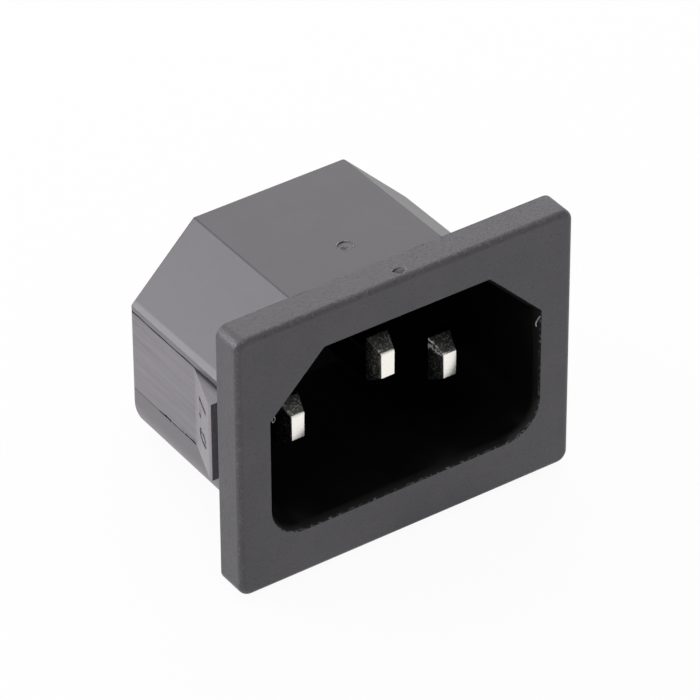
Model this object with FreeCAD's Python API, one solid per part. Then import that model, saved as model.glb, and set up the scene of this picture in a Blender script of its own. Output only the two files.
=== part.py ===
import FreeCAD, Part
import math
import os

# Snap-in panel inlet of the three-blade C14 pattern: one moulded housing with a
# flange, a shroud and two snap wedges, and three plated contacts that are
# loaded from the rear. Millimetres. The origin is the centre of the flange's
# rear face, the plane that lies on the panel. The mouth faces -Y, the tags
# point to +Y, and the two chamfered corners of the shroud are at the top (+Z).

# --- Cavity, set by the connector that plugs in ------------------------------
CAVITY_WIDTH = 24.2           # at the mouth, behind the lead-in
CAVITY_HEIGHT = 15.65
CAVITY_CHAMFER = 4.7          # leg of each 45 degree top corner
CAVITY_BOTTOM_RADIUS = 2.8
CAVITY_DEPTH = 16.0           # front face to cavity floor
LEAD_IN_WIDTH = 0.3
LEAD_IN_DEPTH = 0.75
EDGE_RADIUS = 0.25            # small radius on the moulded long edges
DRAFT_ANGLE = 0.42            # degrees, on shroud and cavity

# --- Walls and flange --------------------------------------------------------
SIDE_WALL = 0.75
TOP_WALL = 1.3
BOTTOM_WALL = 1.6
CHAMFER_WALL = 0.6            # square to the chamfer faces
REAR_WALL = 2.65
REAR_EDGE_RADIUS = 0.3
REAR_EDGE_STEPS = 3           # flats that make up the quarter round
FLANGE_THICKNESS = 2.75
FLANGE_SIDE_LIP = 2.4         # flange beyond the shroud, each side
FLANGE_TOP_LIP = 2.35
FLANGE_BOTTOM_LIP = 2.8
FLANGE_CORNER_RADIUS = 1.0
FLANGE_FRONT_RADIUS = 0.5

# --- Snap wedges on the left and right walls ---------------------------------
WEDGE_HEIGHT = 7.1
WEDGE_DROP = 0.95             # wedge centre below the cavity centre
WEDGE_RISE = 1.5              # crest above the shroud wall
WEDGE_TOE = 6.9               # panel plane to the thin end of the ramp
WEDGE_CREST = 2.7             # panel plane to the top of the ramp
WEDGE_HOLD = 2.3              # panel plane to the holding face

# --- Contacts ----------------------------------------------------------------
BLADE_PITCH = 14.0            # line blade to neutral blade
BLADE_THICKNESS = 2.0
BLADE_HEIGHT = 4.0
BLADE_ROW_DROP = 2.2          # line and neutral below the cavity centre
EARTH_RISE = 4.0              # earth blade above the line and neutral row
BLADE_SETBACK = 4.35          # front face to line and neutral tips
EARTH_SETBACK = 2.55          # the earth blade makes contact first
TIP_LENGTH = 1.5
TIP_THICKNESS = 1.2           # end face of the bevelled tip
TIP_HEIGHT = 2.2
SHOULDER_MARGIN_X = 0.6       # shoulder beyond the blade, each side
SHOULDER_MARGIN_Z = 0.8
SHOULDER_LENGTH = 1.2
TAG_THICKNESS = 0.8
TAG_HEIGHT = 3.6
TAG_LENGTH = 6.0              # beyond the housing's rear face
TAG_TIP_CHAMFER = 0.8
TAG_HOLE_RADIUS = 0.8
TAG_HOLE_SETBACK = 2.0        # tag end to hole centre

# --- Seats of the contacts in the rear wall ----------------------------------
SLOT_CLEARANCE = 0.04         # each side of blade and shoulder
STAKE_LIP_LENGTH = 0.35       # plastic staked over the shoulder, along Y
STAKE_LIP_REACH = 0.45        # over the shoulder's two ends, along Z

# --- Places that follow from the sizes above ---------------------------------
SHROUD_WIDTH = CAVITY_WIDTH + 2 * SIDE_WALL
SHROUD_HEIGHT = CAVITY_HEIGHT + TOP_WALL + BOTTOM_WALL
FLANGE_WIDTH = SHROUD_WIDTH + 2 * FLANGE_SIDE_LIP
FLANGE_HEIGHT = SHROUD_HEIGHT + FLANGE_TOP_LIP + FLANGE_BOTTOM_LIP
FLANGE_TOP = FLANGE_HEIGHT / 2
SHROUD_TOP = FLANGE_TOP - FLANGE_TOP_LIP
SHROUD_BOTTOM = SHROUD_TOP - SHROUD_HEIGHT
CAVITY_TOP = SHROUD_TOP - TOP_WALL
CAVITY_BOTTOM = CAVITY_TOP - CAVITY_HEIGHT
CAVITY_CENTRE = CAVITY_BOTTOM + CAVITY_HEIGHT / 2
# The chamfer faces of shroud and cavity stay CHAMFER_WALL apart.
SHROUD_CHAMFER = CAVITY_CHAMFER + SIDE_WALL + TOP_WALL - CHAMFER_WALL * math.sqrt(2)
SHROUD_BOTTOM_RADIUS = CAVITY_BOTTOM_RADIUS + SIDE_WALL

FRONT = -FLANGE_THICKNESS
CAVITY_FLOOR = FRONT + CAVITY_DEPTH
REAR = CAVITY_FLOOR + REAR_WALL
SHOULDER_BACK = REAR - STAKE_LIP_LENGTH
SHOULDER_FRONT = SHOULDER_BACK - SHOULDER_LENGTH
DRAFT = math.tan(math.radians(DRAFT_ANGLE))

BLADE_ROW_Z = CAVITY_CENTRE - BLADE_ROW_DROP
EARTH_Z = BLADE_ROW_Z + EARTH_RISE
WEDGE_Z = CAVITY_CENTRE - WEDGE_DROP
# node name, X, Z, Y of the tip
CONTACTS = (
    ("line_contact", -BLADE_PITCH / 2, BLADE_ROW_Z, FRONT + BLADE_SETBACK),
    ("neutral_contact", BLADE_PITCH / 2, BLADE_ROW_Z, FRONT + BLADE_SETBACK),
    ("earth_contact", 0.0, EARTH_Z, FRONT + EARTH_SETBACK),
)


# --- Outlines ----------------------------------------------------------------
def rounded_wire(corners, radii, y):
    """Closed wire at depth y through (x, z) corners, each with its own radius."""
    points = [FreeCAD.Vector(x, y, z) for x, z in corners]
    edges, ends = [], []
    for i, corner in enumerate(points):
        before = (points[i - 1] - corner).normalize()
        after = (points[(i + 1) % len(points)] - corner).normalize()
        half = before.getAngle(after) / 2
        reach = radii[i] / math.tan(half)
        middle = corner + (before + after).normalize() * (radii[i] / math.sin(half) - radii[i])
        start, end = corner + before * reach, corner + after * reach
        edges.append(Part.Arc(start, middle, end).toShape())
        ends.append((start, end))
    sides = [Part.makeLine(ends[i][1], ends[(i + 1) % len(ends)][0]) for i in range(len(ends))]
    ring = [edge for pair in zip(edges, sides) for edge in pair]
    return Part.Wire(ring)


def chamfered_wire(width, top, bottom, chamfer, bottom_radius, inset, y):
    """The C14 outline: two 45 degree top corners, two rounded bottom corners."""
    half = width / 2 - inset
    top, bottom = top - inset, bottom + inset
    leg = chamfer - inset * (2 - math.sqrt(2))
    corners = [(-half + leg, top), (half - leg, top), (half, top - leg),
               (half, bottom), (-half, bottom), (-half, top - leg)]
    low = bottom_radius - inset
    return rounded_wire(corners, [EDGE_RADIUS, EDGE_RADIUS, EDGE_RADIUS, low, low, EDGE_RADIUS], y)


def shroud_wire(y, inset=0.0):
    return chamfered_wire(SHROUD_WIDTH, SHROUD_TOP, SHROUD_BOTTOM, SHROUD_CHAMFER,
                          SHROUD_BOTTOM_RADIUS, DRAFT * y + inset, y)


def cavity_wire(y, grow=0.0):
    return chamfered_wire(CAVITY_WIDTH, CAVITY_TOP, CAVITY_BOTTOM, CAVITY_CHAMFER,
                          CAVITY_BOTTOM_RADIUS, DRAFT * (y - FRONT) - grow, y)


def box_between(x, y0, y1, z, width, height):
    """Box centred on (x, z) that runs from y0 to y1."""
    corner = FreeCAD.Vector(x - width / 2, y0, z - height / 2)
    return Part.makeBox(width, y1 - y0, height, corner)


def edges_at(shape, y):
    """Edges of shape that lie wholly in the plane at depth y."""
    close = 1e-6
    return [e for e in shape.Edges
            if abs(e.BoundBox.YMin - y) < close and abs(e.BoundBox.YMax - y) < close]


# --- Housing -----------------------------------------------------------------
def flange():
    half_w, half_h = FLANGE_WIDTH / 2, FLANGE_HEIGHT / 2
    corners = [(-half_w, half_h), (half_w, half_h), (half_w, -half_h), (-half_w, -half_h)]
    outline = rounded_wire(corners, [FLANGE_CORNER_RADIUS] * len(corners), 0.0)
    plate = Part.Face(outline).extrude(FreeCAD.Vector(0, FRONT, 0))
    return plate.makeFillet(FLANGE_FRONT_RADIUS, edges_at(plate, FRONT))


def shroud():
    """Drafted body behind the flange, whose rear edge turns in along a quarter round."""
    sections = [shroud_wire(0.0)]
    for step in range(REAR_EDGE_STEPS + 1):
        turn = math.pi / 2 * step / REAR_EDGE_STEPS
        sections.append(shroud_wire(REAR - REAR_EDGE_RADIUS * (1 - math.sin(turn)),
                                    REAR_EDGE_RADIUS * (1 - math.cos(turn))))
    return Part.makeLoft(sections, True, True)


def cavity():
    """Drafted space for the connector, with the lead-in at its mouth."""
    room = Part.makeLoft([cavity_wire(FRONT), cavity_wire(CAVITY_FLOOR)], True, True)
    lead_in = Part.makeLoft([cavity_wire(FRONT, LEAD_IN_WIDTH),
                             cavity_wire(FRONT + LEAD_IN_DEPTH)], True, True)
    return room.fuse(lead_in)


def snap_wedge():
    """Left wedge: a ramp that rises towards the flange and ends square to it."""
    def wall(y):
        return -SHROUD_WIDTH / 2 + DRAFT * y
    root = wall(WEDGE_TOE) + SIDE_WALL / 2
    crest = wall(0.0) - WEDGE_RISE
    profile = [(root, WEDGE_HOLD), (crest, WEDGE_HOLD), (crest, WEDGE_CREST),
               (wall(WEDGE_TOE), WEDGE_TOE), (root, WEDGE_TOE)]
    base = WEDGE_Z - WEDGE_HEIGHT / 2
    points = [FreeCAD.Vector(x, y, base) for x, y in profile]
    outline = Part.makePolygon(points + points[:1])
    return Part.Face(outline).extrude(FreeCAD.Vector(0, 0, WEDGE_HEIGHT))


def contact_seat(x, z):
    """Slot for the blade and the stepped pocket that holds its shoulder."""
    slot = box_between(x, CAVITY_FLOOR, REAR, z,
                       BLADE_THICKNESS + 2 * SLOT_CLEARANCE, BLADE_HEIGHT + 2 * SLOT_CLEARANCE)
    width = BLADE_THICKNESS + 2 * (SHOULDER_MARGIN_X + SLOT_CLEARANCE)
    height = BLADE_HEIGHT + 2 * (SHOULDER_MARGIN_Z + SLOT_CLEARANCE)
    pocket = box_between(x, SHOULDER_FRONT, SHOULDER_BACK, z, width, height)
    mouth = box_between(x, SHOULDER_BACK, REAR, z, width, height - 2 * STAKE_LIP_REACH)
    return slot.fuse([pocket, mouth])


def housing():
    left = snap_wedge()
    right = left.mirror(FreeCAD.Vector(0, 0, 0), FreeCAD.Vector(1, 0, 0))
    solid = flange().fuse([shroud(), left, right])
    solid = solid.cut([cavity()] + [contact_seat(x, z) for _, x, z, _ in CONTACTS])
    return solid.removeSplitter()


# --- Contacts ----------------------------------------------------------------
def rectangle(x, y, z, width, height):
    low, high = x - width / 2, x + width / 2
    base, top = z - height / 2, z + height / 2
    points = [FreeCAD.Vector(*p) for p in
              ((low, y, base), (high, y, base), (high, y, top), (low, y, top))]
    return Part.makePolygon(points + points[:1])


def solder_tag(x, z):
    """Flat tag with chamfered end corners and a hole for the wire."""
    end, half = REAR + TAG_LENGTH, TAG_HEIGHT / 2
    shape = [(SHOULDER_BACK, -half), (end - TAG_TIP_CHAMFER, -half),
             (end, -half + TAG_TIP_CHAMFER), (end, half - TAG_TIP_CHAMFER),
             (end - TAG_TIP_CHAMFER, half), (SHOULDER_BACK, half)]
    side = x - TAG_THICKNESS / 2
    points = [FreeCAD.Vector(side, y, z + dz) for y, dz in shape]
    plate = Part.Face(Part.makePolygon(points + points[:1]))
    tag = plate.extrude(FreeCAD.Vector(TAG_THICKNESS, 0, 0))
    hole = Part.makeCylinder(TAG_HOLE_RADIUS, TAG_THICKNESS,
                             FreeCAD.Vector(side, end - TAG_HOLE_SETBACK, z),
                             FreeCAD.Vector(1, 0, 0))
    return tag.cut(hole)


def contact(x, z, tip):
    """One coined contact: bevelled blade, shoulder and solder tag."""
    root = tip + TIP_LENGTH
    nose = Part.makeLoft([rectangle(x, tip, z, TIP_THICKNESS, TIP_HEIGHT),
                          rectangle(x, root, z, BLADE_THICKNESS, BLADE_HEIGHT)], True, True)
    blade = box_between(x, root, SHOULDER_FRONT, z, BLADE_THICKNESS, BLADE_HEIGHT)
    shoulder = box_between(x, SHOULDER_FRONT, SHOULDER_BACK, z,
                           BLADE_THICKNESS + 2 * SHOULDER_MARGIN_X,
                           BLADE_HEIGHT + 2 * SHOULDER_MARGIN_Z)
    return nose.fuse([blade, shoulder, solder_tag(x, z)]).removeSplitter()


def main():
    os.makedirs("parts", exist_ok=True)
    nodes = {"housing": housing()}
    for name, x, z, tip in CONTACTS:
        nodes[name] = contact(x, z, tip)
    for name, shape in nodes.items():
        box = shape.BoundBox
        print(name, "solids", len(shape.Solids), "valid", shape.isValid(),
              "size", round(box.XLength, 2), round(box.YLength, 2), round(box.ZLength, 2),
              "volume", round(shape.Volume, 1))
        shape.exportStep("parts/" + name + ".step")


main()
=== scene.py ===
"""Finishes, moulding marks and table-top stage for a C14 panel inlet."""
import math

import bpy
from bpy.props import FloatProperty, FloatVectorProperty, PointerProperty, StringProperty
from mathutils import Matrix, Vector


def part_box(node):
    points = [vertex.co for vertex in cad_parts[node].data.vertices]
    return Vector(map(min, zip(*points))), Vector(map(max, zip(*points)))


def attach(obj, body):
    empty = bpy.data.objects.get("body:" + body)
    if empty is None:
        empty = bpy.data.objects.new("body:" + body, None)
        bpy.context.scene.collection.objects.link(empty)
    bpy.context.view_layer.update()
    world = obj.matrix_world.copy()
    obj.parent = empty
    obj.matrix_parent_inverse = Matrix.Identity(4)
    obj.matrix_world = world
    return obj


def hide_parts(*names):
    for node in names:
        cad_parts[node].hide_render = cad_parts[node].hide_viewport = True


bl_info = {
    "name": "C14 panel inlet",
    "version": (1, 0, 0),
    "blender": (4, 5, 0),
    "location": "View3D > Sidebar > Inlet",
    "description": "Models the moulded marks and finishes of a snap-in panel inlet "
                   "and sets up its stage",
    "category": "Object",
}

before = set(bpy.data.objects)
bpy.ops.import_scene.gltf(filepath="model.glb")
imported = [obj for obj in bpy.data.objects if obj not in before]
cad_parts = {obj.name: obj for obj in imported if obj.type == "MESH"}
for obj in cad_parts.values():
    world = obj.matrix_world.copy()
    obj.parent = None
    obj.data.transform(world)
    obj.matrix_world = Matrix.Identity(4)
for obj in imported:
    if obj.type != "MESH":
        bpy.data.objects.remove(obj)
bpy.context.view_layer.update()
MM = 0.001

# Housing landmarks, from the CAD nodes. The panel plane is y = 0.
HOUSING_LOW, HOUSING_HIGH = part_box("housing")
FRONT_Y = HOUSING_LOW.y
REAR_Y = HOUSING_HIGH.y

# Places on the moulding and the contacts, all in mm.
FLANGE_FRONT = -2.75
FLANGE_SIDE, FLANGE_TOP = 15.25, 11.85  # the flange's half width and half height
SHROUD_TOP = 9.456              # the shroud's top at the ejector mark
SHROUD_HEEL = -8.93             # the shroud's underside at its rear edge
WALL_AT_PANEL = 12.85           # the side walls' distance from the middle, at the panel
WALL_DRAFT = 0.00733            # the side walls' taper per mm
WALL_FRONT = (0.05, 0.20)       # where the walls' finish begins
WALL_REAR = (15.85, 15.60)      # where it ends
CAVITY_SIDE, CAVITY_FLOOR = 12.5, 13.3  # limits of the cavity's faces
CAVITY_BOTTOM, CAVITY_TOP = -7.8, 8.6
CAVITY_MIDDLE = 0.375
TIP_EARTH = -0.20               # y of the earth contact's end face
TIP_STEP = 1.80                 # the line and neutral contacts end this much deeper
BLADE_X = 7.0                   # the neutral contact's distance from the middle
TAG_ROOT = (15.6, 16.4)         # where a shank turns into its tag

# Snap wedges. The side-action slider spans them, and its edges run on to the rear.
SLIDER_LOW, SLIDER_HIGH = -4.10, 2.97
RAMP_TOE = (12.82, 6.90)        # distance from the middle and from the panel plane
RAMP_CREST = (14.35, 2.70)
DIGIT_FOOT = 0.345              # the digits' foot, as a share of the way from toe to crest
DIGIT_SHARE = 0.729             # height of a digit against the font's size
# The slider's hairlines: side, height, rear end, front end, width.
SLIDER_LINES = (
    (-1, 3.045, 15.65, 0.10, 0.150), (-1, -4.19, 12.10, 11.20, 0.14),
    (-1, -4.17, 11.25, 10.40, 0.30), (-1, -4.17, 10.20, 8.60, 0.08),
    (-1, -4.18, 8.45, 6.95, 0.18),
    (1, 3.045, 15.65, 0.10, 0.150), (1, -4.18, 13.20, 11.70, 0.14),
    (1, -4.17, 9.90, 7.20, 0.18),
)

# Mould marks, as x and y.
EJECTOR_PLACE = (0.30, 5.95)    # the dent on the shroud's top
CRATER_PLACE = (0.10, 5.75)     # the torn spot in the dent
GATE_PLACE = (-0.15, -1.80)     # the recess on the flange's top
LOOP_PLACE = (-12.02, -2.62, 3.64)      # the flash loop's middle, on the mouth's left edge
HAIR_PLACE = (12.36, -2.62, 3.05)       # the flash hair's root, on the mouth's right edge

# Softboxes round the inlet: name, place, side length, radiance against the key level.
SOFTBOXES = (
    ("back_left_softbox", (-0.35, 0.40, 0.28), 0.45, 0.60),
    ("back_right_softbox", (0.27, 0.40, 0.35), 0.40, 0.50),
    ("left_softbox", (-0.45, 0.35, 0.08), 0.36, 2.00),
    ("top_softbox", (0.00, 0.10, 0.60), 0.60, 0.30),
)
GLOW = 1.0                      # strength of the table's glow, where 1 is white
CAMERA_SHARE = 0.94             # share of the glow that the camera sees
GLOW_CENTRE = (4.0, -4.0)       # mm, the darkest spot of the table in reflections
GLOW_REACH = (1.5, 14.0)        # mm from there, where the glow starts and where it is full
TABLE_SIZE = 6.0                # m
TABLE_WHITE = 0.97              # grey level of the table's paper


# --- Small helpers -----------------------------------------------------------
def deselect_all():
    """Leaves edit mode and selects nothing."""
    if bpy.context.object and bpy.context.object.mode != "OBJECT":
        bpy.ops.object.mode_set(mode="OBJECT")
    bpy.ops.object.select_all(action="DESELECT")


def only(piece):
    """Makes piece the one selected and active object."""
    deselect_all()
    piece.hide_viewport = False
    piece.select_set(True)
    bpy.context.view_layer.objects.active = piece


def apply_modifiers(piece):
    """Applies all of the piece's modifiers in their order."""
    only(piece)
    for modifier in list(piece.modifiers):
        bpy.ops.object.modifier_apply(modifier=modifier.name)


def welded_copy(node, name):
    """A separate, merged and flat-face-dissolved copy of a CAD node's mesh."""
    only(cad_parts[node])
    bpy.ops.object.duplicate()
    piece = bpy.context.object
    piece.name = piece.data.name = name
    for key in list(piece.keys()):
        del piece[key]
    piece.parent = None
    bpy.ops.object.mode_set(mode="EDIT")
    bpy.ops.mesh.select_all(action="SELECT")
    bpy.ops.mesh.remove_doubles(threshold=0.002 * MM)
    bpy.ops.mesh.dissolve_limited(angle_limit=math.radians(0.6))
    bpy.ops.object.mode_set(mode="OBJECT")
    return piece


def soften_edges(piece, radius, angle=30.0, segments=3):
    """Rounds the sharp edges and gives smooth shading across them."""
    bevel = piece.modifiers.new("edge_round", "BEVEL")
    bevel.width = radius
    bevel.segments = segments
    bevel.limit_method = "ANGLE"
    bevel.angle_limit = math.radians(angle)
    bevel.use_clamp_overlap = True
    apply_modifiers(piece)
    only(piece)
    bpy.ops.object.shade_smooth_by_angle(angle=math.radians(angle))


def face_outwards(piece):
    """Turns all of the piece's normals outwards."""
    only(piece)
    bpy.ops.object.mode_set(mode="EDIT")
    bpy.ops.mesh.select_all(action="SELECT")
    bpy.ops.mesh.normals_make_consistent(inside=False)
    bpy.ops.object.mode_set(mode="OBJECT")


def finish_piece(piece, material):
    """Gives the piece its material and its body."""
    piece.data.materials.clear()
    piece.data.materials.append(material)
    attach(piece, "root")


def even_normals(piece):
    """Keeps the large faces flat-shaded next to the small rounds and cuts."""
    weighted = piece.modifiers.new("even_normals", "WEIGHTED_NORMAL")
    weighted.keep_sharp = True
    weighted.weight = 80
    apply_modifiers(piece)


def carve(piece, cutter, finish=None):
    """Takes the cutter's shape out of the piece and removes the cutter."""
    cut = piece.modifiers.new("cut", "BOOLEAN")
    cut.operation = "DIFFERENCE"
    cut.solver = "EXACT"
    cut.object = cutter
    if finish:
        cutter.data.materials.append(finish)
        cut.material_mode = "TRANSFER"
    apply_modifiers(piece)
    bpy.data.objects.remove(cutter)
    only(piece)
    bpy.ops.object.shade_smooth_by_angle(angle=math.radians(30))


# --- Shader nodes ------------------------------------------------------------
class Value:
    """A float socket that Python's arithmetic works on."""

    def __init__(self, finish, socket):
        self.finish, self.socket = finish, socket

    def math(self, operation, *others):
        return self.finish.node("ShaderNodeMath", {"operation": operation}, self, *others)

    def __add__(self, other):
        return self.math("ADD", other)

    def __sub__(self, other):
        return self.math("SUBTRACT", other)

    def __rsub__(self, other):
        return self.finish.node("ShaderNodeMath", {"operation": "SUBTRACT"}, other, self)

    def __mul__(self, other):
        return self.math("MULTIPLY", other)

    def __pow__(self, other):
        return self.math("POWER", other)

    def __abs__(self):
        return self.math("ABSOLUTE")

    def maximum(self, other):
        return self.math("MAXIMUM", other)

    def minimum(self, other):
        return self.math("MINIMUM", other)

    def fade(self, start, end):
        """0 at start, 1 at end, clamped, with soft ends."""
        return self.finish.node("ShaderNodeMapRange", {"interpolation_type": "SMOOTHSTEP"},
                                Value=self, **{"From Min": start, "From Max": end})

    __radd__, __rmul__ = __add__, __mul__


class Finish:
    """The node tree of one material or of the world, and the nodes that feed it."""

    def __init__(self, name, collection=bpy.data.materials):
        self.material = collection.new(name)
        self.material.use_nodes = True
        self.tree = self.material.node_tree
        self.tree.nodes.clear()

    def node(self, kind, settings=None, *values, out=0, **named):
        """Adds a node, sets it up, feeds its inputs in order or by name, gives one output."""
        made = self.tree.nodes.new(kind)
        for key, value in (settings or {}).items():
            setattr(made, key, value)
        feeds = [(made.inputs[i], v) for i, v in enumerate(values)]
        feeds += [(made.inputs[key], v) for key, v in named.items()]
        for socket, value in feeds:
            if isinstance(value, Value):
                self.tree.links.new(value.socket, socket)
            elif value is not None:
                socket.default_value = value
        return Value(self, made.outputs[out]) if made.outputs else made

    def output(self, shader, kind="ShaderNodeOutputMaterial"):
        """Ends the tree with the given shader."""
        self.node(kind, None, shader)
        return self.material

    def place(self):
        """Object coordinates in millimetres as x, y, z."""
        self.where = self.node("ShaderNodeTexCoord", out="Object")
        return [self.node("ShaderNodeSeparateXYZ", None, self.where, out=axis) * (1 / MM)
                for axis in "XYZ"]

    def stretched(self, scale):
        """Object coordinates stretched along the axes, for streaks."""
        return self.node("ShaderNodeMapping", None, self.where, Scale=scale)

    def noise(self, scale, detail=2.0, roughness=0.5, vector=None):
        return self.node("ShaderNodeTexNoise", None, Vector=vector or self.where,
                         Scale=scale, Detail=detail, Roughness=roughness)

    def mix_colour(self, share, first, second):
        """The first colour where share is 0, the second where it is 1."""
        named = {0: share, 6: first, 7: second}     # the Mix node's factor and colour inputs
        return self.node("ShaderNodeMix", {"data_type": "RGBA"},
                         *[named.get(i) for i in range(8)], out=2)

    def surface(self, **inputs):
        return self.output(self.node("ShaderNodeBsdfPrincipled", None, **inputs))


def grey(level):
    return (level, level, level, 1.0)


def tone(colour, share):
    """The colour made lighter or darker, with its alpha."""
    return [channel * share for channel in colour[:3]] + [1.0]


# --- Settings ----------------------------------------------------------------
class MouldingSettings(bpy.types.PropertyGroup):
    edge_radius: FloatProperty(
        name="Edge radius", description="Round left by the mould on sharp edges",
        default=0.07 * MM, unit="LENGTH")
    black: FloatVectorProperty(
        name="Black", description="Colour of the black thermoplastic",
        subtype="COLOR", default=(0.042, 0.039, 0.043))
    # The cavity's grey level is painted shade, far darker than the black outside.
    cavity_shade_level: FloatProperty(
        name="Cavity black", description="Grey level of the polished cavity", default=0.004)


class NumeralSettings(bpy.types.PropertyGroup):
    words: StringProperty(
        name="Number", description="Panel thickness in millimetres", default="1.0")
    height: FloatProperty(
        name="Height", description="Height of the digits", default=2.1 * MM, unit="LENGTH")
    depth: FloatProperty(
        name="Depth", description="How deep the digits are sunk",
        default=0.12 * MM, unit="LENGTH")
    boldness: FloatProperty(
        name="Boldness", description="How far the strokes are thickened",
        default=0.12 * MM, unit="LENGTH")
    narrow: FloatProperty(
        name="Narrowing", description="Width of the digits against their usual width",
        default=0.80)
    spacing: FloatProperty(
        name="Spacing", description="Distance between the digits against the usual one",
        default=1.6)
    offset: FloatProperty(
        name="Offset", description="Shift from the ramp's middle along the reading direction",
        default=-0.30 * MM, unit="LENGTH")


class LineSettings(bpy.types.PropertyGroup):
    depth: FloatProperty(
        name="Depth", description="Depth of the slider's hairlines",
        default=0.06 * MM, unit="LENGTH")


class MarkSettings(bpy.types.PropertyGroup):
    ejector_radius: FloatProperty(
        name="Ejector radius", description="Radius of the ejector dent",
        default=0.6 * MM, unit="LENGTH")
    ejector_depth: FloatProperty(
        name="Ejector depth", description="Greatest depth of the ejector dent",
        default=0.12 * MM, unit="LENGTH")
    gate_radius: FloatProperty(
        name="Gate radius", description="Radius of the recess round the torn gate",
        default=0.46 * MM, unit="LENGTH")
    gate_depth: FloatProperty(
        name="Gate depth", description="Depth of the recess round the torn gate",
        default=0.16 * MM, unit="LENGTH")
    hair_size: FloatProperty(
        name="Hair size", description="Radius of the flash loop at the mouth",
        default=0.22 * MM, unit="LENGTH")


class BladeSettings(bpy.types.PropertyGroup):
    edge_radius: FloatProperty(
        name="Edge radius", description="Round on the coined edges",
        default=0.1 * MM, unit="LENGTH")
    plating: FloatVectorProperty(
        name="Plating", description="Colour of the plated contacts",
        subtype="COLOR", default=(0.92, 0.91, 0.88))


class StageSettings(bpy.types.PropertyGroup):
    azimuth: FloatProperty(
        name="Azimuth", description="Camera azimuth round the inlet",
        subtype="ANGLE", default=math.radians(-34.3414))
    elevation: FloatProperty(
        name="Elevation", description="Camera elevation",
        subtype="ANGLE", default=math.radians(36.0621))
    roll: FloatProperty(
        name="Roll", description="Camera roll", subtype="ANGLE",
        default=math.radians(-0.3395))
    distance: FloatProperty(
        name="Distance", description="Camera to the flange's front",
        unit="LENGTH", default=413.29 * MM)
    lens: FloatProperty(
        name="Lens", description="Focal length in millimetres", default=282.69)
    aim: FloatVectorProperty(
        name="Aim", description="Sideways and upward shift of the camera",
        size=2, default=(-4.3239 * MM, 4.1245 * MM))
    key_level: FloatProperty(
        name="Key level", description="Radiance that the softboxes' levels are shares of",
        default=3.0)
    fill_level: FloatProperty(
        name="Fill level", description="Radiance of the world for diffuse light",
        default=0.58)


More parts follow.
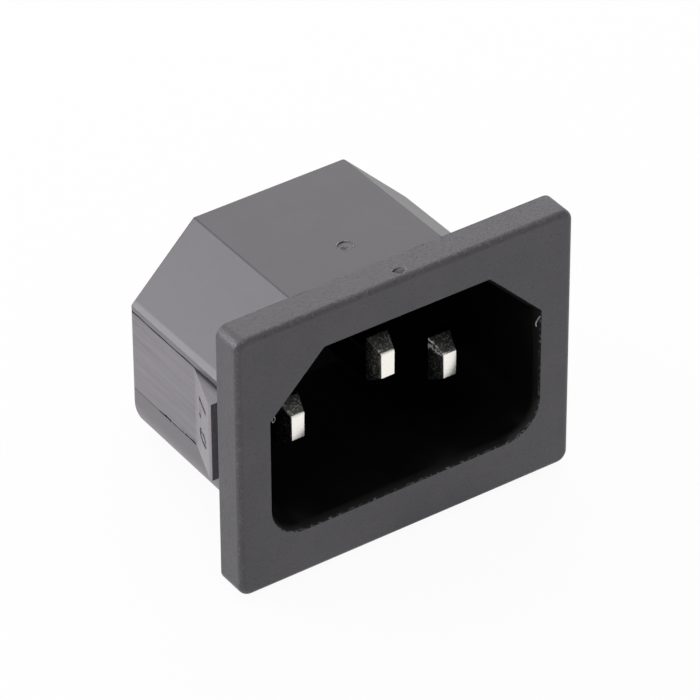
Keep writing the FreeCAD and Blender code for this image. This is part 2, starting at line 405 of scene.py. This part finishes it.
# --- Finishes ----------------------------------------------------------------
def black_thermoplastic(settings):
    """Spark grain and pits on the flange, drag marks between the slider's lines, painted sheen on
    the walls' slider, shoulders and ramps, painted shade in the pits, nicks and craters, and a
    painted highlight on the marks' rims.
    """
    finish = Finish("black_thermoplastic")
    x, y, z = finish.place()
    grain = finish.noise(6200.0, 2.0, 0.65)
    cloud = finish.noise(300.0, 3.0, 0.55)
    patches = finish.noise(900.0, 2.0, 0.5)
    specks = finish.noise(4600.0, 2.0, 0.7).fade(0.68, 0.76) * patches.fade(0.42, 0.62)
    pits = finish.noise(4300.0, 3.0, 0.7).fade(0.47, 0.30)
    scuffs = finish.noise(2700.0, 4.0, 0.75).fade(0.52, 0.62)
    drag = finish.noise(2300.0, 4.0, 0.65, finish.stretched((1.0, 0.05, 1.0)))
    torn = finish.noise(2600.0, 3.0, 0.7).fade(0.40, 0.56)
    chips = finish.noise(420.0, 4.0, 0.75).fade(0.50, 0.58)

    # The flange: its scuffed front edges and the nicks round its rear edge, which are darkened
    # with painted shade.
    flange = y.fade(0.08, -0.08)
    front_edge = y.fade(FLANGE_FRONT + 0.50, FLANGE_FRONT + 0.20)
    edges = flange * front_edge * abs(x).fade(FLANGE_SIDE - 0.45, FLANGE_SIDE - 0.10).maximum(
        z.fade(FLANGE_TOP - 0.45, FLANGE_TOP - 0.10))
    rim = abs(x).fade(FLANGE_SIDE - 0.09, FLANGE_SIDE - 0.05).maximum(
        abs(z).fade(FLANGE_TOP - 0.09, FLANGE_TOP - 0.05))
    nicks = flange * rim * y.fade(-0.20, -0.10) * chips * 0.6

    # The side walls: between the slider's lines, above and below them, and the ramps.
    wall = (abs(x).fade(WALL_AT_PANEL - 0.55, WALL_AT_PANEL - 0.35)
            * abs(x).fade(WALL_AT_PANEL + 0.20, WALL_AT_PANEL + 0.05)
            * y.fade(*WALL_FRONT) * y.fade(*WALL_REAR))
    slider = (wall * z.fade(SLIDER_LOW - 0.05, SLIDER_LOW + 0.05)
              * z.fade(SLIDER_HIGH + 0.05, SLIDER_HIGH - 0.05))
    shoulder = wall * z.fade(SLIDER_HIGH + 0.10, SLIDER_HIGH + 0.18).maximum(
        z.fade(SLIDER_LOW - 0.10, SLIDER_LOW - 0.18))
    ramp = abs(x).fade(WALL_AT_PANEL + 0.05, WALL_AT_PANEL + 0.20) * y.fade(0.6, 0.9)

    # The torn rims and craters of the ejector and gate marks, with a painted highlight on the rims
    # and painted shade in the craters. A mark counts on its own top only.
    off_shroud_top = z.fade(8.6, 8.2) * 9.0
    off_flange_top = z.fade(11.4, 11.0) * 9.0
    ejector = round_mark(x, y, EJECTOR_PLACE) + off_shroud_top
    gate = round_mark(x, y, GATE_PLACE) + off_flange_top
    crater = round_mark(x, y, CRATER_PLACE) + off_shroud_top
    rims = abs(ejector - 0.64).fade(0.12, 0.03) + abs(gate - 0.56).fade(0.18, 0.04) * 0.5
    craters = crater.fade(0.34, 0.16) + gate.fade(0.42, 0.22)

    black = settings.black
    # Specks and scuffed edges, with a painted highlight on the marks' rims.
    wear_and_rim_highlight = (specks * (0.3 + flange * 0.3) + edges * scuffs * 0.45 + rims * torn * 0.9).minimum(1.0)
    # Darker drag streaks, and painted shade in the pits, nicks and craters.
    sunk = (pits * (0.08 + flange * 0.62) + slider * drag.fade(0.48, 0.30) * 0.30 + nicks
            + craters * (0.3 + torn * 0.5)).minimum(0.95)
    shade = finish.mix_colour(cloud.fade(0.3, 0.7), tone(black, 0.85), tone(black, 1.15))
    # Painted sheen: the slider panel, its shoulders and the ramps are coloured several times
    # lighter than the black, with drag streaks and scuffs in it. The last entry darkens the drag
    # streaks and lays the painted shade.
    for share, level in ((slider * (0.62 + drag.fade(0.45, 0.70) * 0.14), 5.2),
                         (shoulder * 0.6, 4.0),
                         (ramp * (0.60 + scuffs * 0.22), 5.8),
                         (wear_and_rim_highlight, 4.0),
                         (sunk, 0.1)):
        shade = finish.mix_colour(share, shade, tone(black, level))
    rough = 0.32 + cloud * 0.08 + grain * 0.10
    height = (grain * (0.10 + flange * 1.20) - pits * flange * 0.3 + drag * slider * 0.5
              - nicks + rims * torn * 1.2 - craters * torn * 2.0)
    bump = finish.node("ShaderNodeBump", None, Strength=1.0, Distance=0.035 * MM, Height=height)
    return finish.surface(**{"Base Color": shade, "Roughness": rough, "Normal": bump,
                             "IOR": 1.6, "Specular Tint": (0.97, 0.94, 1.0, 1.0)})


def round_mark(x, y, middle):
    """Distance from a mark's middle, seen from above, in mm."""
    return ((x - middle[0]) ** 2 + (y - middle[1]) ** 2) ** 0.5


def painted_seam_shade():
    """Painted shade inside the slider's hairlines, near-black and matte. The upper one is less
    dark.
    """
    finish = Finish("seam_shadow")
    _, _, z = finish.place()
    shade = finish.mix_colour(finish.noise(3000.0), grey(0.002), grey(0.010))
    shade = finish.mix_colour(z.fade(0.0, 1.0), shade, grey(0.035))
    return finish.surface(**{"Base Color": shade, "Roughness": 0.9, "IOR": 1.2})


def painted_flash_highlight():
    """Slivers of the same plastic, coloured light grey as a painted highlight on the thin hairs.
    """
    finish = Finish("painted_flash_highlight")
    finish.place()
    shade = finish.mix_colour(finish.noise(2500.0), grey(0.20), grey(0.60))
    return finish.surface(**{"Base Color": shade, "Roughness": 0.5})


def cavity_painted_shade(settings):
    """Polished cavity, coloured far darker than the black outside as painted shade, with a
    scuffed, slightly ragged edge round its mouth. Metallic takes the lead-in's gloss away, painted
    shade there too.
    """
    finish = Finish("cavity_painted_shade")
    _, y, _ = finish.place()
    cloud = finish.noise(350.0, 2.0, 0.5)
    ragged = finish.noise(2200.0, 4.0, 0.75).fade(0.50, 0.62)
    lead_in = y.fade(FLANGE_FRONT + 0.75, FLANGE_FRONT + 0.60)
    lip = y.fade(FLANGE_FRONT + 0.25, FLANGE_FRONT + 0.07) * ragged
    shade = finish.mix_colour(cloud.fade(0.3, 0.7), grey(settings.cavity_shade_level * 0.8),
                              grey(settings.cavity_shade_level * 1.2))
    shade = finish.mix_colour((lead_in * 0.05 + lip * 0.8).minimum(1.0), shade, grey(0.22))
    rough = 0.28 + cloud * 0.08 + lead_in * 0.15
    lead_in_shade = lead_in * (1.0 - lip) * 0.55
    return finish.surface(**{"Base Color": shade, "Metallic": lead_in_shade, "Roughness": rough,
                             "IOR": 1.45})


def plated_metal(settings):
    """Bright sheared end faces; painted shade makes the coined bevels and shanks nearly black, the
    bevels speckled, and the tags a darker plating.
    """
    finish = Finish("plated_metal")
    x, y, z = finish.place()
    depth = y - abs(x).fade(3.0, 4.0) * TIP_STEP - TIP_EARTH
    tip = depth.fade(0.10, 0.16)
    bevel = tip * depth.fade(1.60, 1.48)
    tag = y.fade(*TAG_ROOT)
    shank = depth.fade(1.48, 1.60) * y.fade(*reversed(TAG_ROOT))
    face = 1.0 - tip
    wear = finish.noise(2500.0, 3.0, 0.6)
    drawn = finish.noise(3000.0, 2.0, 0.6, finish.stretched((1.0, 0.05, 1.0)))
    sheared = finish.noise(3600.0, 3.0, 0.6, finish.stretched((0.25, 1.0, 1.0)))
    specks = finish.noise(5600.0, 3.0, 0.7).fade(0.55, 0.60) * bevel
    # A row of bright burrs runs down one bevel of the neutral contact.
    across = abs(x - BLADE_X + 0.60 + (depth - 0.1) * 0.27)
    burr_line = across.fade(0.16, 0.05) * z.fade(-1.0, -0.7) * bevel
    beads = burr_line * finish.noise(4200.0, 1.0, 0.5).fade(0.46, 0.54)
    plating = settings.plating
    # Painted shade: the bevels and shanks are nearly black, far below the plating; specks and burr
    # beads on the bevels keep the plating's colour.
    shade = finish.mix_colour((bevel * 0.90 + shank * 0.7).minimum(1.0), tone(plating, 1.0),
                              tone(plating, 0.06))
    shade = finish.mix_colour((specks * 0.60 + beads).minimum(1.0), shade, tone(plating, 0.9))
    # The tags are painted darker than the plating, a painted shade that sets them apart from the
    # white they reflect, with random wear in it.
    shade = finish.mix_colour(tag * (0.75 + wear * 0.25), shade, tone(plating, 0.62))
    shade = finish.mix_colour(face * (0.55 + sheared * 0.45), shade, (0.95, 0.92, 0.85, 1.0))
    rough = 0.10 + wear * 0.06 + bevel * 0.22 + face * 0.14 + tag * 0.14 + beads * 0.45
    height = wear * bevel * 0.8 + specks * 0.6 + sheared * face * 0.5 + drawn * 0.10
    bump = finish.node("ShaderNodeBump", None, Strength=0.6, Distance=0.012 * MM, Height=height)
    return finish.surface(**{"Base Color": shade, "Metallic": 1.0, "Roughness": rough,
                             "Normal": bump})


# --- Operators ---------------------------------------------------------------
class INLET_OT_moulding(bpy.types.Operator):
    """Welds and rounds the one-piece black moulding and gives it its finish"""
    bl_idname = "inlet.moulding"
    bl_label = "Moulding"

    def execute(self, context):
        settings = context.scene.inlet_moulding
        piece = welded_copy("housing", "moulding")
        soften_edges(piece, settings.edge_radius)
        finish_piece(piece, black_thermoplastic(settings))
        # The cavity's faces take the second material, which paints shade inside the cavity.
        piece.data.materials.append(cavity_painted_shade(settings))
        for face in piece.data.polygons:
            x, y, z = face.center / MM
            outward = x * face.normal.x + (z - CAVITY_MIDDLE) * face.normal.z
            inside = (abs(x) < CAVITY_SIDE and FLANGE_FRONT + 0.02 < y < CAVITY_FLOOR
                      and CAVITY_BOTTOM < z < CAVITY_TOP)
            if inside and (outward < -0.01 or face.normal.y < -0.9):
                face.material_index = 1
        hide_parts("housing")
        return {"FINISHED"}


class INLET_OT_numerals(bpy.types.Operator):
    """Sinks the plain panel thickness, 1.0, into both snap ramps"""
    bl_idname = "inlet.numerals"
    bl_label = "Ramp numerals"

    def execute(self, context):
        settings = context.scene.inlet_numerals
        toe, crest = Vector(RAMP_TOE) * MM, Vector(RAMP_CREST) * MM
        run = (crest - toe).normalized()
        for side in (-1, 1):
            upright = Vector((side * run.x, run.y, 0.0))
            reading = Vector((0.0, 0.0, float(side)))
            outward = reading.cross(upright)
            foot = toe.lerp(crest, DIGIT_FOOT)
            middle = (SLIDER_LOW + SLIDER_HIGH) / 2 * MM
            place = Vector((side * foot.x, foot.y, middle)) + reading * settings.offset
            deselect_all()
            bpy.ops.object.text_add()
            cutter = context.object
            cutter.data.body = settings.words
            cutter.data.size = settings.height / DIGIT_SHARE
            cutter.data.space_character = settings.spacing
            cutter.data.offset = settings.boldness
            cutter.data.align_x = "CENTER"
            cutter.data.extrude = settings.depth
            bpy.ops.object.convert(target="MESH")
            frame_of_text = Matrix((reading * settings.narrow, upright, outward)).transposed()
            cutter.data.transform(Matrix.Translation(place) @ frame_of_text.to_4x4())
            carve(bpy.data.objects["moulding"], cutter)
        return {"FINISHED"}


class INLET_OT_lines(bpy.types.Operator):
    """Cuts the hairline witness of the side-action slider into both walls"""
    bl_idname = "inlet.lines"
    bl_label = "Slider lines"

    def execute(self, context):
        settings = context.scene.inlet_lines
        # The hairlines' faces take painted shade.
        dark = painted_seam_shade()
        for side, height, rear, front, width in SLIDER_LINES:
            deselect_all()
            bpy.ops.mesh.primitive_cube_add(
                size=1.0, scale=(0.12 * MM, (rear - front) * MM, width * MM),
                location=(0.06 * MM, (rear + front) / 2 * MM, 0.0))
            groove = context.object
            bpy.ops.object.transform_apply(location=True, scale=True)
            bpy.ops.object.mode_set(mode="EDIT")
            bpy.ops.mesh.subdivide(number_cuts=14)
            bpy.ops.object.mode_set(mode="OBJECT")
            for vertex in groove.data.vertices:
                x, y, z = vertex.co / MM
                swell = 0.75 + 0.25 * math.sin(y * 4.3 + height)
                wander = 0.030 * math.sin(y * 1.9 + side) + 0.015 * math.sin(y * 5.3)
                wall = WALL_AT_PANEL - WALL_DRAFT * y - settings.depth / MM
                vertex.co = Vector((side * (wall + x), y, height + wander + z * swell)) * MM
            face_outwards(groove)
            carve(bpy.data.objects["moulding"], groove, dark)
        return {"FINISHED"}


class INLET_OT_marks(bpy.types.Operator):
    """Sinks the ejector dent into the shroud's top and the torn gate into the flange's top"""
    bl_idname = "inlet.marks"
    bl_label = "Ejector and gate marks"

    def execute(self, context):
        settings = context.scene.inlet_marks
        moulding = bpy.data.objects["moulding"]
        # A tilted round dent, deepest towards the rear left.
        deselect_all()
        bpy.ops.mesh.primitive_cylinder_add(vertices=48, radius=settings.ejector_radius,
                                            depth=1.0 * MM)
        dent = context.object
        tilt = settings.ejector_depth / settings.ejector_radius / 2
        dent.data.transform(Matrix.Translation((EJECTOR_PLACE[0] * MM, EJECTOR_PLACE[1] * MM,
                                                SHROUD_TOP * MM - settings.ejector_depth / 2))
                            @ Matrix.Rotation(-tilt, 4, Vector((1.0, 1.0, 0.0)))
                            @ Matrix.Translation((0.0, 0.0, 0.5 * MM)))
        carve(moulding, dent)
        # A round recess with the torn stub left standing in it.
        deselect_all()
        bpy.ops.mesh.primitive_cylinder_add(vertices=40, radius=settings.gate_radius,
                                            depth=1.0 * MM)
        gate = context.object
        bpy.ops.object.mode_set(mode="EDIT")
        bpy.ops.mesh.select_all(action="DESELECT")
        bpy.ops.object.mode_set(mode="OBJECT")
        for face in gate.data.polygons:
            face.select = face.normal.z < -0.9
        bpy.ops.object.mode_set(mode="EDIT")
        bpy.ops.mesh.inset(thickness=settings.gate_radius * 0.45)
        bpy.ops.transform.translate(value=(0.06 * MM, 0.04 * MM, settings.gate_depth * 0.8))
        bpy.ops.object.mode_set(mode="OBJECT")
        for vertex in gate.data.vertices:
            turn = math.atan2(vertex.co.y, vertex.co.x)
            ragged = 1.0 + 0.16 * math.sin(3 * turn) + 0.10 * math.sin(7 * turn + 1.0)
            vertex.co.x, vertex.co.y = vertex.co.x * ragged, vertex.co.y * ragged * 0.8
        gate.data.transform(Matrix.Translation((GATE_PLACE[0] * MM, GATE_PLACE[1] * MM,
                                                HOUSING_HIGH.z - settings.gate_depth * 0.6))
                            @ Matrix.Rotation(-0.16, 4, Vector((0.3, 1.0, 0.0)))
                            @ Matrix.Translation((0.0, 0.0, 0.5 * MM)))
        carve(moulding, gate)
        even_normals(moulding)
        return {"FINISHED"}


class INLET_OT_flash(bpy.types.Operator):
    """Leaves two hairs of moulding flash at the mouth's upper corners"""
    bl_idname = "inlet.flash"
    bl_label = "Flash hairs"

    def execute(self, context):
        settings = context.scene.inlet_marks
        pale = painted_flash_highlight()
        deselect_all()
        bpy.ops.mesh.primitive_torus_add(major_radius=settings.hair_size, minor_radius=0.035 * MM,
                                         major_segments=24, minor_segments=8)
        loop = context.object
        for vertex in loop.data.vertices:
            x, y, z = vertex.co
            vertex.co = Vector(LOOP_PLACE) * MM + Vector((x * 0.8, z + x * 0.3, y))
        hair = self.curl(context)
        for name, piece in (("flash_loop", loop), ("flash_hair", hair)):
            piece.name = piece.data.name = name
            face_outwards(piece)
            bpy.ops.object.shade_smooth_by_angle(angle=math.radians(50))
            finish_piece(piece, pale)
        return {"FINISHED"}

    @staticmethod
    def curl(context):
        """A tapering hair that leaves the right wall and curls down."""
        deselect_all()
        bpy.ops.mesh.primitive_cone_add(vertices=10, radius1=0.085 * MM, radius2=0.03 * MM,
                                        depth=1.0 * MM)
        hair = context.object
        bpy.ops.object.mode_set(mode="EDIT")
        for height in (-0.3, -0.1, 0.1, 0.3):
            bpy.ops.mesh.select_all(action="SELECT")
            bpy.ops.mesh.bisect(plane_co=(0.0, 0.0, height * MM), plane_no=(0.0, 0.0, 1.0))
        bpy.ops.object.mode_set(mode="OBJECT")
        for vertex in hair.data.vertices:
            x, y, z = vertex.co
            along = z / MM + 0.5
            bend = Vector((-0.42 * math.sin(2.2 * along), 0.0, -0.85 * along))
            vertex.co = (Vector(HAIR_PLACE) + bend) * MM + Vector((x, y, x * 0.4))
        return hair


class INLET_OT_blades(bpy.types.Operator):
    """Rounds the three coined contacts and gives them their plating"""
    bl_idname = "inlet.blades"
    bl_label = "Blades and tags"

    def execute(self, context):
        settings = context.scene.inlet_blades
        plating = plated_metal(settings)
        for node in ("line_contact", "neutral_contact", "earth_contact"):
            piece = welded_copy(node, node.replace("contact", "blade"))
            soften_edges(piece, settings.edge_radius)
            finish_piece(piece, plating)
            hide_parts(node)
        return {"FINISHED"}


class INLET_OT_stage(bpy.types.Operator):
    """Sets up the white table, the soft light and the camera"""
    bl_idname = "inlet.stage"
    bl_label = "Stage"

    def execute(self, context):
        settings = context.scene.inlet_stage
        add_table()
        add_softboxes(settings)
        add_world(settings)
        add_camera(settings)
        context.scene.view_settings.view_transform = "Standard"
        return {"FINISHED"}


def add_table():
    """White table that the flange's lower rear edge and the shroud's lower rear edge rest on."""
    heel = Vector((0.0, 0.0, HOUSING_LOW.z))
    toe = Vector((0.0, REAR_Y, SHROUD_HEEL * MM))
    lean = math.atan2(toe.z - heel.z, toe.y - heel.y)
    deselect_all()
    bpy.ops.mesh.primitive_plane_add(size=TABLE_SIZE, location=(heel + toe) / 2,
                                     rotation=(lean, 0.0, 0.0))
    table = bpy.context.object
    table.name = "table"
    finish = Finish("white_table")
    seen = finish.node("ShaderNodeLightPath", out="Is Camera Ray")
    mirrored = finish.node("ShaderNodeLightPath", out="Is Glossy Ray").maximum(
        finish.node("ShaderNodeLightPath", out="Is Transmission Ray"))
    x, y, _ = finish.place()
    reach = ((x - GLOW_CENTRE[0]) ** 2 + (y - GLOW_CENTRE[1]) ** 2) ** 0.5
    share = seen * CAMERA_SHARE + mirrored * reach.fade(*GLOW_REACH)
    paper = finish.node("ShaderNodeBsdfDiffuse", None, Color=grey(TABLE_WHITE))
    glow = finish.node("ShaderNodeEmission", None, Strength=GLOW)
    finish.output(finish.node("ShaderNodeMixShader", None, share, paper, glow))
    table.data.materials.append(finish.material)


def add_softbox(name, place, size, level):
    """Square area light that faces the inlet with the given radiance."""
    deselect_all()
    bpy.ops.object.light_add(type="AREA", location=place)
    lamp = bpy.context.object
    lamp.name = name
    lamp.rotation_mode = "QUATERNION"
    lamp.rotation_quaternion = (-Vector(place)).to_track_quat("-Z", "Y")
    lamp.data.size = size
    lamp.data.energy = level * math.pi * size * size


def add_softboxes(settings):
    """All the softboxes, at their shares of the key level."""
    for name, place, size, level in SOFTBOXES:
        add_softbox(name, place, size, level * settings.key_level)


def add_world(settings):
    """White for the camera and for reflections, the fill level for all other light."""
    finish = Finish("white_room", bpy.data.worlds)
    shown = finish.node("ShaderNodeLightPath", out="Is Camera Ray").maximum(
        finish.node("ShaderNodeLightPath", out="Is Glossy Ray"))
    level = settings.fill_level + shown * (1.0 - settings.fill_level)
    sky = finish.node("ShaderNodeBackground", None, Strength=level)
    bpy.context.scene.world = finish.output(sky, "ShaderNodeOutputWorld")


def add_camera(settings):
    """Camera that orbits the flange's front, shifted by the aim and rolled."""
    a, e = settings.azimuth, settings.elevation
    back = Vector((math.sin(a) * math.cos(e), -math.cos(a) * math.cos(e), math.sin(e)))
    right = Vector((math.cos(a), math.sin(a), 0.0))
    up = back.cross(right)
    turn = settings.roll
    across = right * math.cos(turn) + up * math.sin(turn)
    upward = up * math.cos(turn) - right * math.sin(turn)
    place = (Vector((0.0, FRONT_Y, 0.0)) + back * settings.distance
             + right * settings.aim[0] + up * settings.aim[1])
    deselect_all()
    bpy.ops.object.camera_add(location=place)
    camera = bpy.context.object
    camera.rotation_mode = "QUATERNION"
    camera.rotation_quaternion = Matrix((across, upward, back)).transposed().to_quaternion()
    camera.data.lens = settings.lens
    camera.data.sensor_width = 36.0
    camera.data.clip_start = 0.01
    bpy.context.scene.camera = camera


class INLET_PT_sidebar(bpy.types.Panel):
    """Lists the inlet's pieces and its stage"""
    bl_label = "Panel inlet"
    bl_idname = "INLET_PT_sidebar"
    bl_space_type = "VIEW_3D"
    bl_region_type = "UI"
    bl_category = "Inlet"

    def draw(self, context):
        for operator in OPERATORS:
            self.layout.operator(operator.bl_idname)
        for group in GROUPS:
            settings = getattr(context.scene, group)
            box = self.layout.box()
            for key in settings.bl_rna.properties.keys():
                if key not in ("rna_type", "name"):
                    box.prop(settings, key)


OPERATORS = (INLET_OT_moulding, INLET_OT_numerals, INLET_OT_lines, INLET_OT_marks,
             INLET_OT_flash, INLET_OT_blades, INLET_OT_stage)
GROUPS = {
    "inlet_moulding": MouldingSettings, "inlet_numerals": NumeralSettings,
    "inlet_lines": LineSettings, "inlet_marks": MarkSettings,
    "inlet_blades": BladeSettings, "inlet_stage": StageSettings,
}


def register():
    for cls in (*GROUPS.values(), *OPERATORS, INLET_PT_sidebar):
        bpy.utils.register_class(cls)
    for name, cls in GROUPS.items():
        setattr(bpy.types.Scene, name, PointerProperty(type=cls))


def unregister():
    for name in GROUPS:
        delattr(bpy.types.Scene, name)
    for cls in (INLET_PT_sidebar, *reversed(OPERATORS), *reversed(list(GROUPS.values()))):
        bpy.utils.unregister_class(cls)


def main():
    register()
    bpy.ops.inlet.moulding()
    bpy.ops.inlet.numerals()
    bpy.ops.inlet.lines()
    bpy.ops.inlet.marks()
    bpy.ops.inlet.flash()
    bpy.ops.inlet.blades()
    bpy.ops.inlet.stage()


if __name__ == "__main__":
    main()
